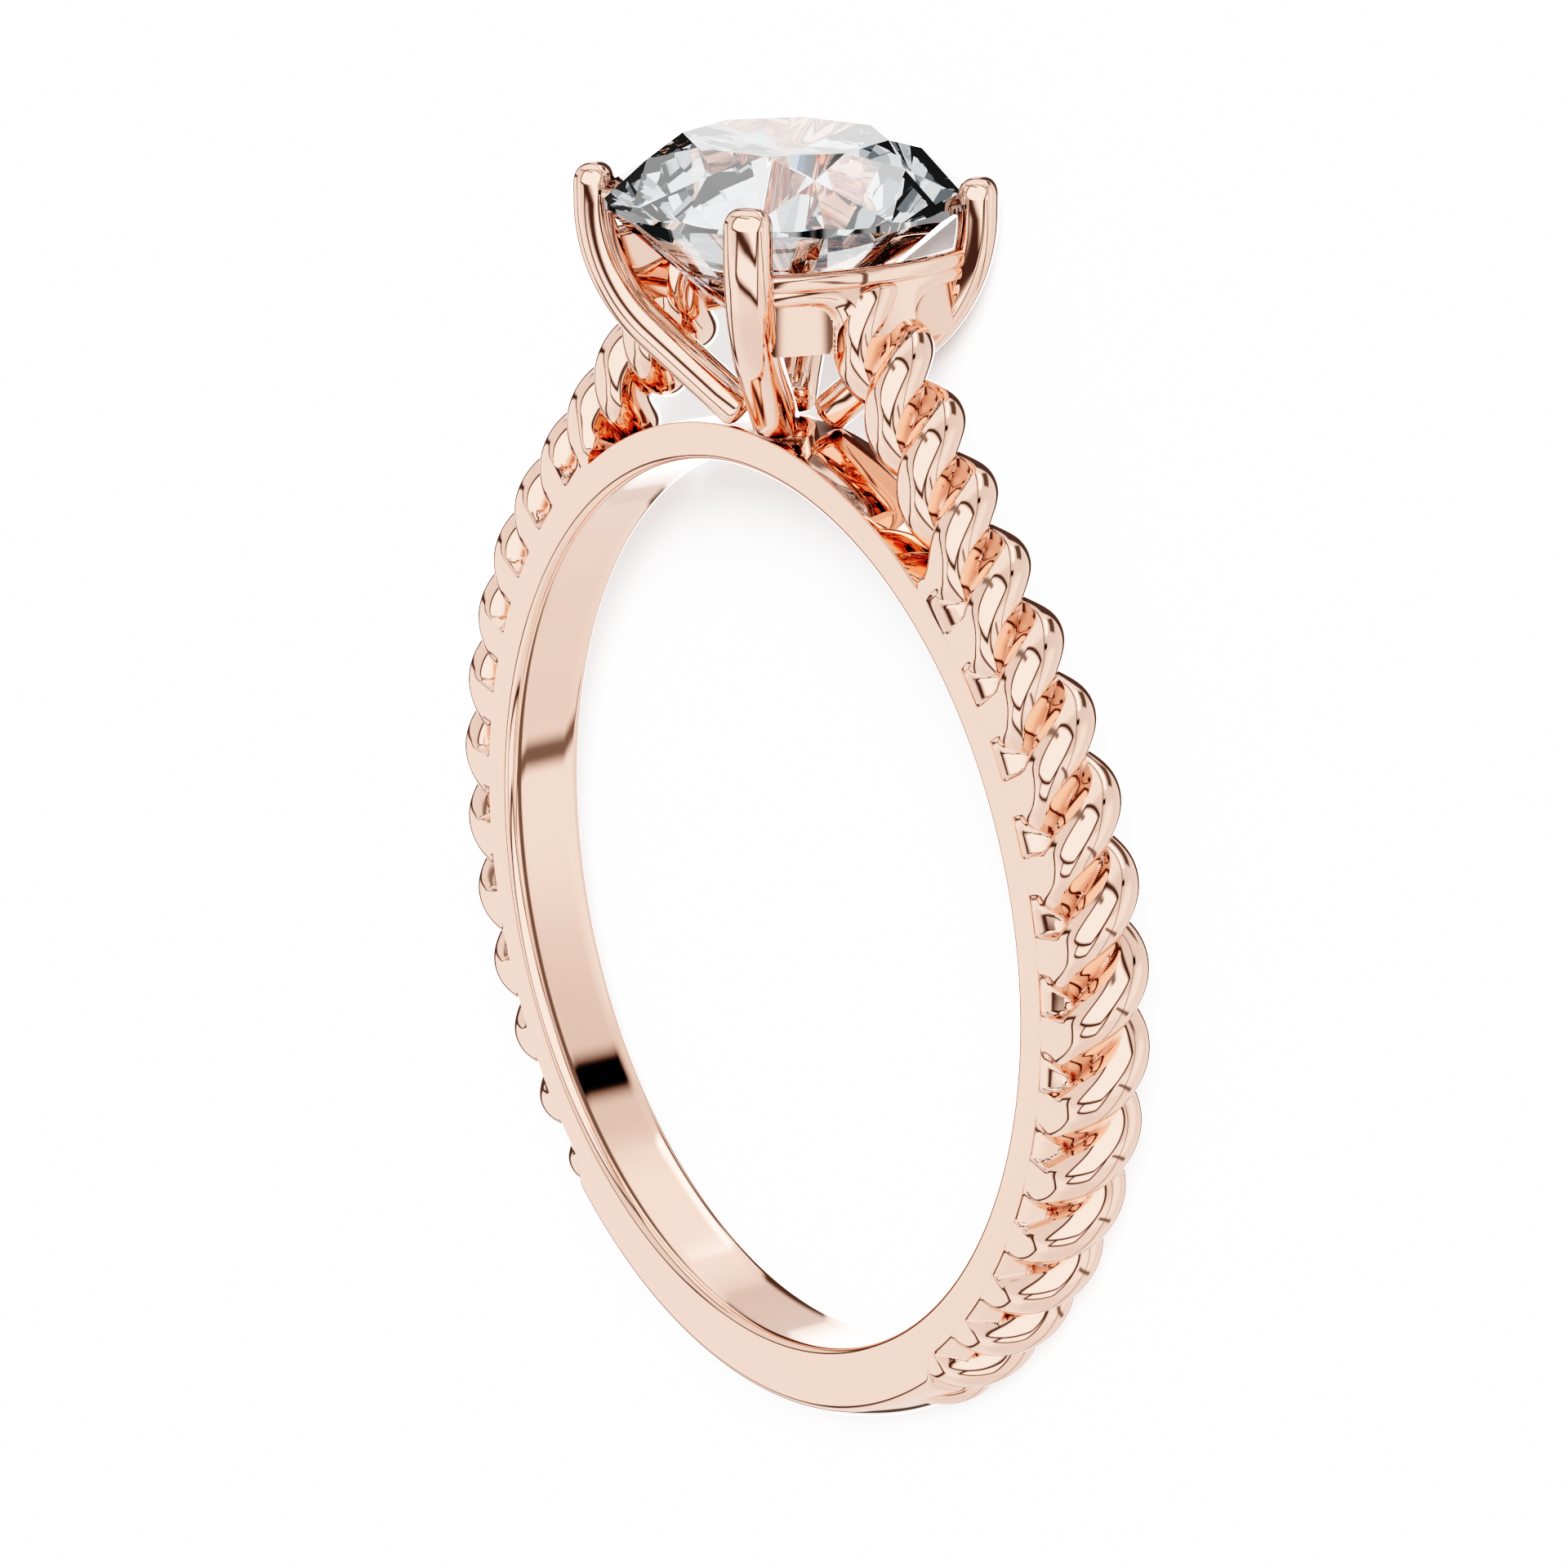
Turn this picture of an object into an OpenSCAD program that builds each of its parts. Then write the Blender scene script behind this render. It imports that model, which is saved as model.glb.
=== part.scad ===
/* [Band] */
// Inside diameter of the finger hole
finger_d = 16.5; // [14:0.25:21]
// Width of the band along the finger
band_w = 1.67; // [1.4:0.05:2.4]
// Thickness of the band under the ropes
band_t = 0.72; // [0.6:0.02:1.2]
// Rounding of the band's inner edges
comfort_r = 0.2; // [0.1:0.02:0.3]

/* [Plain bottom section] */
// Thickness of the plain section at its side faces
plain_t = 1.14; // [0.9:0.02:1.8]
// Rise of the domed outside over the side faces
plain_crown = 0.28; // [0.1:0.02:0.5]
// Angle from the bottom to the end of the plain section's full thickness
plain_half_angle = 38; // [20:1:50]
// Angle over which the plain section runs out into the band
plain_ramp_angle = 3; // [2:1:12]

/* [Rope] */
// Diameter of the two-strand rope
rope_d = 1.7; // [1.4:0.05:2.2]
// Length of rope in which a strand makes one whole turn
rope_lay = 2.9; // [2.4:0.1:4]
// Distance from the band's outside to the rope's centre line
rope_seat = 0.6; // [0.4:0.05:0.9]
// Angle from the top at which the rope leaves the band for the head
rope_leave_angle = 48; // [40:1:56]
// How far the rope's centre line sinks towards its bottom end
rope_sink = 0.58; // [0:0.02:0.7]
// Angle from the top at which the rope begins to sink
rope_sink_from = 78; // [60:1:110]

/* [Stone] */
// Diameter of the round brilliant stone at its girdle
stone_d = 6.5; // [5:0.1:8]
// Height of the girdle over the outside of the band
girdle_rise = 4.08; // [3.6:0.05:5.5]
// Clearance between the stone and the metal
stone_gap = 0.04; // [0.02:0.01:0.1]

/* [Prongs] */
// Width of a prong across its outer face
prong_w = 0.84; // [0.6:0.02:1.2]
// Depth of a prong, from its outer to its inner face
prong_t = 0.72; // [0.6:0.02:1.1]
// How far a prong reaches over the girdle
prong_over = 0.58; // [0.4:0.02:0.9]
// How deep the girdle sits in a prong
prong_bite = 0.15; // [0.1:0.01:0.3]
// Rounding of a prong's edges
prong_edge_r = 0.24; // [0.1:0.02:0.35]
// Height over the girdle's lower edge at which a prong's bend begins, negative when under it
prong_bend_at = -0.1; // [-0.6:0.05:0]
// Radius of a prong's bend
prong_bend_r = 3.04; // [2:0.02:4]
// Lean of a prong's lower arm from the upright
prong_lean = 48.5; // [40:0.5:56]
// Height of a prong's foot over the outside of the band, at its middle
foot_rise = 0.19; // [0.1:0.01:0.3]

/* [Gallery] */
// Thickness of the rounded rail between two prongs
rail_d = 0.32; // [0.2:0.02:0.5]
// Depth of the rail's middle under the girdle
rail_drop = 0.8; // [0.74:0.02:1.1]
// Radius of the rail's bow
rail_bow_r = 4.8; // [4:0.1:8]
// Thickness of the gallery wall under the rail
wall_t = 0.32; // [0.25:0.01:0.5]
// Height of the gallery wall under the rail
wall_h = 1.25; // [0.8:0.05:1.6]
// How far the wall stands back from the rail
wall_set_back = 0.06; // [0:0.02:0.15]

/* [Hidden] */
$fn = 48;

// The ring is drawn upright: its hole runs along Y and the stone is on top, along +Z.
// Angles around it count from the top, towards +X.
in_r = finger_d / 2;
half_w = band_w / 2;
band_r = in_r + band_t;
plain_r = in_r + plain_t;
girdle_r = stone_d / 2;
bottom_at = 180;
// How far a cut runs past the faces it cuts
cut_past = 1;

function smooth(x) = let (u = min(max(x, 0), 1)) u * u * (3 - 2 * u);
function on_ring(r, a, y = 0) = [r * sin(a), y, r * cos(a)];

// Joins the rings of points of a sweep, and closes its two ends.
module skin(rings) {
    n = len(rings[0]);
    m = len(rings);
    polyhedron(
        points = [for (ring = rings) each ring],
        faces = [
            [for (j = [0:n - 1]) j],
            for (i = [0:m - 2]) for (j = [0:n - 1]) each [
                [i * n + j, (i + 1) * n + j, i * n + (j + 1) % n],
                [(i + 1) * n + j, (i + 1) * n + (j + 1) % n, i * n + (j + 1) % n],
            ],
            [for (j = [n - 1:-1:0]) (m - 1) * n + j],
        ]
    );
}

// Band, with some metal left inside for the finger hole to cut
bore_stock = 0.2;
module band() {
    rotate([90, 0, 0])
        rotate_extrude($fn = 144)
            translate([in_r - bore_stock, -half_w])
                square([band_t + bore_stock, band_w]);
}
// The finger hole, with the band's rounded inner edges left standing
module finger_hole() {
    mouth_r = in_r + comfort_r;
    rotate([90, 0, 0]) difference() {
        cylinder(h = band_w + 2 * cut_past, r = mouth_r, center = true);
        rotate_extrude() difference() {
            translate([in_r, -half_w]) square([comfort_r + cut_past, band_w]);
            for (q = [-1, 1]) translate([in_r, q * half_w]) difference() {
                translate([-cut_past, -comfort_r]) square([cut_past + comfort_r, 2 * comfort_r]);
                translate([comfort_r, -q * comfort_r]) circle(r = comfort_r);
            }
        }
    }
}

// Plain bottom section, whose ends run out into the band
plain_core_r = (in_r + band_r) / 2;
plain_sunk = 0.1;
dome_steps = 4;
ramp_steps = 3;
full_steps = 20;
function plain_full(a) = smooth((plain_half_angle + plain_ramp_angle - abs(a)) / plain_ramp_angle);
function plain_ring(a) =
    let (end_r = band_r - plain_sunk)
    let (r_side = end_r + (plain_r - end_r) * plain_full(a))
    let (rise = plain_crown * plain_full(a))
    [
        on_ring(plain_core_r, bottom_at + a, -half_w),
        on_ring(plain_core_r, bottom_at + a, half_w),
        for (k = [0:dome_steps]) let (u = 1 - 2 * k / dome_steps)
            on_ring(r_side + rise * (1 - u * u), bottom_at + a, u * half_w),
    ];
module plain_section() {
    ramp = [for (k = [0:ramp_steps]) plain_half_angle + plain_ramp_angle * (1 - k / ramp_steps)];
    skin([
        for (k = [0:ramp_steps]) plain_ring(-ramp[k]),
        for (k = [1:full_steps - 1]) plain_ring(plain_half_angle * (2 * k / full_steps - 1)),
        for (k = [ramp_steps:-1:0]) plain_ring(ramp[k]),
    ]);
}

// Head: where the bowed rail between two prongs stands
rail_end_r = girdle_r - prong_bite + rail_d / 2;
rail_half_angle = asin(rail_end_r * sin(45) / rail_bow_r);
rail_mid_x = rail_end_r * cos(45) - rail_bow_r * cos(rail_half_angle) + rail_bow_r;

// Rope, on the right; the left one is its mirror image
rope_r = rope_d / 2;
rope_ring_r = band_r + rope_seat;
// Its bottom end runs on inside the plain section, and dives under the dome
rope_bottom_angle = bottom_at - plain_half_angle;
rope_run_in = 10;
rope_dive = 0.25;
rope_sink_to = rope_bottom_angle + 8;
// Its top end runs up to the gallery wall, and this far into it
rope_into_wall = 0.4;
rope_leave = on_ring(rope_ring_r, rope_leave_angle);
rope_length_up = (rope_leave[0] - rail_mid_x + rope_into_wall) / cos(rope_leave_angle);
// Turn of the two strands at one place along the rope
rope_phase = 145.5;
rope_phase_at = -4.84;
rope_turn_step = 24;
// Its sides are cut flush with the band's, and stand back from them a little
rope_set_back = 0.02;
rope_flat = half_w - rope_set_back;
// On the band its lower half is squared up, a share of the way, over an angle from where it leaves
rope_square = 0.9;
rope_square_angle = 14;
function rope_angle(s) = rope_leave_angle - s / rope_ring_r * 180 / PI;
function rope_depth(a) =
    rope_sink * smooth((a - rope_sink_from) / (rope_sink_to - rope_sink_from))
    + rope_dive * smooth((a - rope_bottom_angle) / rope_run_in);
function rope_centre(s) =
    s > 0
    ? rope_leave + s * [-cos(rope_leave_angle), 0, sin(rope_leave_angle)]
    : on_ring(rope_ring_r - rope_depth(rope_angle(s)), rope_angle(s));
// Two round wires side by side, cut square to the rope: the distance from its centre, in rope radii
lobe_off = 0.47;
lobe_deep = 0.53;
lobe_wide = 0.66;
function lobe(f) =
    let (p = pow(cos(f) / lobe_deep, 2) + pow(sin(f) / lobe_wide, 2))
    let (q = abs(cos(f)) * lobe_off / pow(lobe_deep, 2))
    (q + sqrt(q * q + p * (1 - pow(lobe_off / lobe_deep, 2)))) / p;
lobe_angles = [-90, -50, -18, 18, 50];
rope_faces = [each lobe_angles, for (f = lobe_angles) f + 180];
function squared(rise, wide, a) =
    let (square = rope_square * smooth((a - rope_leave_angle) / rope_square_angle))
    let (low = min(max(-rise / rope_r, 0), rope_square))
    wide / sqrt(1 - square * low * low);
function rope_ring(s) =
    let (turn = rope_phase + 360 * (s - rope_phase_at) / rope_lay)
    let (a = s > 0 ? rope_leave_angle : rope_angle(s))
    [
        for (f = rope_faces)
            let (r = rope_r * lobe(f), rise = r * cos(f + turn))
            let (wide = squared(rise, r * sin(f + turn), a))
            rope_centre(s) + on_ring(rise, a) + [0, min(max(wide, -rope_flat), rope_flat), 0],
    ];
module rope() {
    s_low = -(rope_bottom_angle + rope_run_in - rope_leave_angle) * PI / 180 * rope_ring_r;
    count = ceil((rope_length_up - s_low) / rope_lay * 360 / rope_turn_step);
    skin([for (i = [0:count]) rope_ring(s_low + (rope_length_up - s_low) * i / count)]);
}

// Stone, a round brilliant: the points of its facets
girdle_z = band_r + girdle_rise;
girdle_h = 0.03 * stone_d;
crown_h = 0.15 * stone_d;
pavilion_h = 0.43 * stone_d;
table_r = 0.285 * stone_d;
culet_z = girdle_z - pavilion_h;
girdle_top = girdle_z + girdle_h;
table_z = girdle_top + crown_h;
star_r = (girdle_r + table_r * cos(22.5)) / 2;
star_z = table_z - (star_r * cos(22.5) - table_r) * crown_h / (girdle_r - table_r);
lower_r = 0.22 * girdle_r;
lower_z = culet_z + lower_r * cos(22.5) * pavilion_h / girdle_r;
function facet_points(r, z, n, turn = 0) =
    [for (k = [0:n - 1]) let (a = 360 * k / n + turn) [r * cos(a), r * sin(a), z]];
stone_points = [
    each facet_points(table_r, table_z, 8),
    each facet_points(star_r, star_z, 8, 22.5),
    each facet_points(girdle_r, girdle_top, 16),
    each facet_points(girdle_r, girdle_z, 16),
    each facet_points(lower_r, lower_z, 8, 22.5),
    [0, 0, culet_z],
];
function table_at(k) = k % 8;
function star_at(k) = 8 + (k + 8) % 8;
function top_at(k) = 16 + k % 16;
function under_at(k) = 32 + k % 16;
function lower_at(k) = 48 + (k + 8) % 8;
culet_at = len(stone_points) - 1;
module brilliant() {
    polyhedron(
        points = stone_points,
        faces = [
            [for (k = [7:-1:0]) table_at(k)],
            for (k = [0:7]) each [
                [table_at(k), star_at(k), top_at(2 * k), star_at(k - 1)],
                [table_at(k), table_at(k + 1), star_at(k)],
                [star_at(k), top_at(2 * k + 1), top_at(2 * k)],
                [star_at(k), top_at(2 * k + 2), top_at(2 * k + 1)],
                [under_at(2 * k), under_at(2 * k + 1), lower_at(k)],
                [under_at(2 * k + 1), under_at(2 * k + 2), lower_at(k)],
                [under_at(2 * k), lower_at(k), culet_at, lower_at(k - 1)],
            ],
            for (k = [0:15]) [top_at(k), top_at(k + 1), under_at(k + 1), under_at(k)],
        ]
    );
}

// Prongs, each drawn along +X and turned to its place
prong_x = girdle_r - prong_bite + prong_t / 2;
prong_top = girdle_z + prong_over;
prong_bend_z = girdle_z + prong_bend_at;
arm_x = prong_x - prong_bend_r * (1 - cos(prong_lean));
arm_z = prong_bend_z - prong_bend_r * sin(prong_lean);
prong_arm = (arm_z - band_r - foot_rise) / cos(prong_lean);
corner_steps = 2;
bend_steps = 7;
// Rounding of its top and of its foot
dome_r = 0.3;
foot_r = 0.14;
// Rounded rectangle, drawn smaller by an inset, whose corners keep at least a small rounding
least_edge_r = 0.03;
function prong_outline(inset) =
    let (r = max(prong_edge_r - inset, least_edge_r))
    [
        for (q = [[1, 1, 0], [-1, 1, 90], [-1, -1, 180], [1, -1, 270]])
            for (k = [0:corner_steps]) let (a = q[2] + 90 * k / corner_steps)
                [
                    q[0] * (prong_t / 2 - inset - r) + r * cos(a),
                    q[1] * (prong_w / 2 - inset - r) + r * sin(a),
                ],
    ];
function prong_ring(x, z, lean, inset = 0) =
    [for (p = prong_outline(inset)) [x + p[0] * cos(lean), p[1], z - p[0] * sin(lean)]];
arm = [sin(prong_lean), 0, cos(prong_lean)];
foot = [arm_x, 0, arm_z] - (prong_arm - foot_r) * arm;
prong_rings = [
    for (a = [75, 40, 0])
        let (p = foot - foot_r * sin(a) * arm)
        prong_ring(p[0], p[2], prong_lean, foot_r * (1 - cos(a))),
    for (k = [bend_steps:-1:0]) let (a = prong_lean * k / bend_steps)
        prong_ring(prong_x - prong_bend_r * (1 - cos(a)), prong_bend_z - prong_bend_r * sin(a), a),
    for (a = [0, 30, 55, 80])
        prong_ring(prong_x, prong_top - dome_r * (1 - sin(a)), 0, dome_r * (1 - cos(a))),
];

// Gallery, the same on both sides of the head: a bowed rail, a wall under it and a sloping panel
rail_z = girdle_z - rail_drop;
rail_fn = 96;
module bowed() {
    translate([rail_mid_x - rail_bow_r, 0, 0])
        rotate([0, 0, -rail_half_angle])
            rotate_extrude(angle = 2 * rail_half_angle, $fn = rail_fn) children();
}
wall_front_r = rail_bow_r + rail_d / 2 - wall_set_back;
wall_steps = 5;
// The panel is as wide as the rope, less an inset on each side, and comes forward downwards
panel_inset = 0.08;
panel_h = 0.95;
panel_out = 0.34;
function bend_x(z) =
    let (drop = max(prong_bend_z - z, 0))
    prong_x - prong_bend_r + sqrt(pow(prong_bend_r, 2) - pow(drop, 2));
// The space between two prongs, out to their middles
module between_prongs() {
    function edge(q, k) = let (z = rail_z - wall_h * k / wall_steps) [q * bend_x(z) * sin(45), z];
    rotate([90, 0, 90]) linear_extrude(2 * rail_mid_x)
        polygon([
            for (k = [0:wall_steps]) edge(-1, k),
            for (k = [wall_steps:-1:0]) edge(1, k),
        ]);
}
module gallery() {
    panel_w = band_w - 2 * panel_inset;
    wall_middle_r = wall_front_r - wall_t / 2;
    bowed() translate([rail_bow_r, rail_z]) circle(d = rail_d, $fn = 12);
    intersection() {
        bowed() translate([wall_front_r - wall_t, rail_z - wall_h]) square([wall_t, wall_h]);
        between_prongs();
    }
    intersection() {
        translate([0, -panel_w / 2, rail_z - wall_h]) cube([2 * rail_mid_x, panel_w, wall_h]);
        bowed() polygon([
            [wall_middle_r, rail_z - rail_d / 4],
            [wall_front_r - wall_set_back, rail_z - rail_d / 4],
            [wall_front_r + panel_out, rail_z - panel_h],
            [wall_middle_r, rail_z - panel_h],
        ]);
    }
}

module setting_blank() {
    for (q = [45, 135, 225, 315]) rotate([0, 0, q]) skin(prong_rings);
    for (q = [0, 180]) rotate([0, 0, q]) gallery();
}

// The space the stone needs: its profile moved out by the clearance, square to each of its slopes
module stone_space() {
    g = stone_gap;
    slope_p = pavilion_h / girdle_r;
    slope_c = crown_h / (girdle_r - table_r);
    out_p = sqrt(1 + slope_p * slope_p);
    out_c = sqrt(1 + slope_c * slope_c);
    rotate_extrude($fn = 72)
        polygon([
            [0, culet_z - g * out_p],
            [girdle_r + g, girdle_z - g * (out_p - slope_p)],
            [girdle_r + g, girdle_top + g * (out_c - slope_c)],
            [table_r + g * (out_c - 1) / slope_c, table_z + g],
            [0, table_z + g],
        ]);
}

// Lying on its side: the head and the bottom edge of the band touch the floor, and the box is centred.
rest_slope = max([
    for (p = stone_points) (p[1] - half_w) / (p[2] + plain_r),
    for (ring = prong_rings) for (p = ring)
        ((p[0] + p[1]) * sin(45) - half_w) / (p[2] + plain_r),
]);
rest_tilt = atan(rest_slope);
rest_lift = plain_r * sin(rest_tilt) + half_w * cos(rest_tilt);
function laid_y(p) = p[2] * cos(rest_tilt) + p[1] * sin(rest_tilt);
rest_top = max([for (p = stone_points) laid_y(p)]);
rest_end = min([for (p = plain_ring(0)) laid_y(p)]);
module laid_down() {
    translate([0, -(rest_top + rest_end) / 2, rest_lift])
        rotate([rest_tilt - 90, 0, 0])
            children();
}

// resize([0, 0, 0]) changes no size: it joins the metal into one mesh, and the hole is cut after it
module shank_and_setting() {
    color("#e6bfa8") laid_down() difference() {
        resize([0, 0, 0]) {
            band();
            plain_section();
            rope();
            mirror([1, 0, 0]) rope();
            difference() {
                setting_blank();
                stone_space();
            }
        }
        finger_hole();
    }
}

module round_stone() {
    color("#eef2f6") laid_down() brilliant();
}

shank_and_setting();
round_stone();
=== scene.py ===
"""Twisted shank solitaire ring, lying on its side: polished rose gold and a clear round brilliant.

Shapes are worked out in millimetres in the ring's upright frame, where the finger hole runs along Y,
the stone is up along +Z, and angles around the ring count from the top towards +X. laid() turns them
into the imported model's frame, in metres. The sizes repeat those of the CAD part.
"""

import bpy
import numpy as np
from mathutils import Matrix, Vector


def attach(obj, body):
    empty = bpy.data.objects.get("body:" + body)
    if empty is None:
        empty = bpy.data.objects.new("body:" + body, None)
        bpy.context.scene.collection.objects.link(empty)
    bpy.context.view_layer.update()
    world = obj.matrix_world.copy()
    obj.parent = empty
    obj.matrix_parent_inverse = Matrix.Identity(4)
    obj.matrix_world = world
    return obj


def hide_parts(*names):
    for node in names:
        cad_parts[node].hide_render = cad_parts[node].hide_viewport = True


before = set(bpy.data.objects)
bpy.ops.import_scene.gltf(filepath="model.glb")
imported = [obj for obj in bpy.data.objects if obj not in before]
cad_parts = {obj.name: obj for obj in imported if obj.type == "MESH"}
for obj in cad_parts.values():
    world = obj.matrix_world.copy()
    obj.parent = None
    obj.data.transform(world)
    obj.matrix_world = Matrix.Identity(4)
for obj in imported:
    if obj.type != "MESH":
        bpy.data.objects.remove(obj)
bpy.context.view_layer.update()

MM = 0.001
METAL_NODE = "shank_and_setting"
STONE_NODE = "round_stone"

# How the upright ring is laid on its side: turned by the lean, then moved along Y and up, in mm
LEAN = np.radians(6.14255)
MOVE_Y = -2.36105
LIFT = 1.83496
UPRIGHT_TO_LAID = np.array(
    [
        [1.0, 0.0, 0.0],
        [0.0, np.sin(LEAN), np.cos(LEAN)],
        [0.0, -np.cos(LEAN), np.sin(LEAN)],
    ]
)

# Band and plain bottom section. Its outer edge is rounded by one radius at the top, by a smaller one
# beside the ropes and by a larger one in the plain section. Places round the ring are in degrees
IN_R = 8.25
HALF_W = 0.835
BAND_R = 8.97
PLAIN_R = 9.39
PLAIN_CROWN = 0.28
PLAIN_FROM, PLAIN_FULL = 139.0, 142.0
COMFORT_R = 0.2
EDGE_TOP, EDGE_ROPES, EDGE_PLAIN = 0.035, 0.005, 0.12
ROPES_FROM, ROPES_FULL = 34.5, 37.0

# Rope: its path follows the band, sinks into it towards the bottom and dives into the plain section
ROPE_R = 0.85
ROPE_RING_R = 9.57
ROPE_LEAVES = 48.0
ROPE_LAY = 2.9
ROPE_ENDS = 152.0
ROPE_UP = 6.9
ROPE_CAP = 0.25
ROPE_SINK = 0.58
SINK_FROM, SINK_TO = 78.0, 150.0
ROPE_DIVE, DIVE_FROM = 0.25, 142.0
ROPE_PHASE, PHASE_AT = 145.5, -4.84
BURIED_R = 8.5

# The rope's sides: stretched across by a share, cut flush at a distance with a rim of small radius,
# and drawn in behind the plain section's edge where the rope ends
ROPE_STRETCH = 1.06
ROPE_SIDE, ROPE_RIM = 0.836, 0.03
DRAW_IN, DRAW_FROM, DRAW_TO = 0.06, 142.5, 147.0

# The rope's outline, as shares of its radius: how far each wire's centre is off the rope's, half the
# wire's depth and half its width. The web between the wires: half width at the rope's centre, how
# fast it narrows upwards, and how high it reaches
LOBE_OFF, LOBE_DEEP, LOBE_WIDE = 0.42, 0.58, 0.66
WEB_WIDE, WEB_SLOPE, WEB_TOP = 0.44, 0.72, -0.2

# A wire that has turned to the side by these sines is seated on the band. Seats end at this length
# past the place where the rope leaves the band
SEAT_FROM, SEAT_FULL = 0.45, 0.75
SEATED_TO, SEATED_FADE = 2.3, 0.6

# Stone
GIRDLE_R = 3.25
GIRDLE_Z = 13.05
GIRDLE_H = 0.195
CROWN_H = 0.975
PAVILION_H = 2.795
TABLE_R = 1.8525
LOWER_HALVES = 0.22

# Prongs: a section between an ellipse (2) and a rectangle, a bent arm, and a rounded foot and cap.
# The foot and the cap are rings at angles along their rounding, and narrow by a power of its cosine
PRONG_W, PRONG_T = 0.84, 0.72
PRONG_SQUARE = 2.7
PRONG_X = 3.46
PRONG_TOP = 13.63
BEND_Z = 12.95
BEND_R = 3.04
PRONG_LEAN = np.radians(48.5)
PRONG_ARM = 2.284
CAP_R, CAP_POWER, CAP_TIP = 0.34, 0.75, 0.01
CAP_RINGS = np.radians([0, 12, 24, 35, 45, 54, 62, 70, 77, 83, 88])
FOOT_R, FOOT_POWER, FOOT_INSET = 0.2, 0.8, 0.3
FOOT_RINGS = np.radians([88, 75, 60, 40, 20, 0])

# Gallery: a rail on a bow from prong to prong, and a wall under it
RAIL_D = 0.32
RAIL_SQUARE = 3.4
RAIL_Z = 12.25
BOW_R = 4.8
RAIL_MID_X = 2.895
RAIL_REACH = 0.15
WALL_LOW = 10.95
WALL_DIP, DIP_FROM, DIP_FULL = 0.4, 0.9, 0.35
WALL_T, WALL_T_LEAST = 0.32, 0.12
WALL_BEHIND_RAIL = 0.06

# Front of the gallery wall: beside each prong an arch, measured from its lower outer corner, with a
# recess inside its inner size and a flank out to its outer size, and between the arches a panel that
# comes forward downwards
ARCH_Y, ARCH_Z = 1.62, 10.85
ARCH_INNER, ARCH_OUTER = (0.82, 1.03), (1.08, 1.27)
RECESS_DEEP, RECESS_FROM, RECESS_TO = 0.13, 0.95, 1.01
PANEL_TOP, PANEL_SLOPE, PANEL_DROP = 12.1, 0.42, 0.8


def smooth(x):
    """0 below 0, 1 above 1, and an S curve between."""
    u = np.clip(x, 0.0, 1.0)
    return u * u * (3 - 2 * u)


def blend_between(x, start, end):
    """0 before the start, 1 after the end, and an S curve between."""
    return smooth((x - start) / (end - start))


def around(r, degrees, y):
    """Points at radius r, at an angle from the top of the ring, and at y along the finger."""
    a = np.radians(degrees)
    r, a, y = np.broadcast_arrays(r, a, y)
    return np.stack([r * np.sin(a), y, r * np.cos(a)], -1)


def turned(points, degrees):
    """Points turned about the ring's upright axis through the stone."""
    a = np.radians(degrees)
    c, s = np.cos(a), np.sin(a)
    return points @ np.array([[c, s, 0], [-s, c, 0], [0, 0, 1]])


def laid(points):
    """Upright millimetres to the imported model's frame in metres."""
    return (points @ UPRIGHT_TO_LAID.T + [0.0, MOVE_Y, LIFT]) * MM


def linear(hex_colour):
    """An sRGB hex colour as linear red, green, blue and alpha."""
    c = np.array([int(hex_colour[i : i + 2], 16) for i in (1, 3, 5)]) / 255
    c = np.where(c <= 0.04045, c / 12.92, ((c + 0.055) / 1.055) ** 2.4)
    return (*c.tolist(), 1.0)


def node(tree, kind, sockets=None, **settings):
    """Adds a node: its settings, and for sockets by name or number a value or the output to link."""
    n = tree.nodes.new(kind)
    for key, value in settings.items():
        setattr(n, key, value)
    for key, value in (sockets or {}).items():
        if isinstance(value, bpy.types.NodeSocket):
            tree.links.new(value, n.inputs[key])
        else:
            n.inputs[key].default_value = value
    return n


# Meshes


def enclosed(points, loops, starts):
    """Six times the volume inside a closed mesh, from fans over its faces."""
    total = 0.0
    sizes = np.append(starts[1:], len(loops)) - starts
    for n in np.unique(sizes):
        f = loops[starts[sizes == n][:, None] + np.arange(n)]
        for k in range(1, n - 1):
            normals = np.cross(points[f[:, k]], points[f[:, k + 1]])
            total += np.einsum("ij,ij->", points[f[:, 0]], normals)
    return total


def make_piece(name, points, faces, material, replaced, sharp):
    """A mesh object from upright points and a list of face arrays, with its faces turned outwards.

    Edges sharper than the angle in degrees stay crisp.
    """
    place = laid(points)
    loops = np.concatenate([f.ravel() for f in faces]).astype(np.int32)
    sizes = np.concatenate([np.full(len(f), f.shape[1]) for f in faces])
    starts = np.concatenate([[0], np.cumsum(sizes)[:-1]]).astype(np.int32)
    if enclosed(place, loops, starts) < 0:
        loops = np.concatenate([f[:, ::-1].ravel() for f in faces]).astype(np.int32)
    mesh = bpy.data.meshes.new(name)
    mesh.vertices.add(len(place))
    mesh.vertices.foreach_set("co", place.astype(np.float32).ravel())
    mesh.loops.add(len(loops))
    mesh.loops.foreach_set("vertex_index", loops)
    mesh.polygons.add(len(starts))
    mesh.polygons.foreach_set("loop_start", starts)
    mesh.update(calc_edges=True)
    mesh.validate()
    mesh.shade_smooth()
    mesh.set_sharp_from_angle(angle=np.radians(sharp))
    mesh.materials.append(material)
    obj = bpy.data.objects.new(name, mesh)
    bpy.context.scene.collection.objects.link(obj)
    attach(obj, "root")
    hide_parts(replaced)


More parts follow.
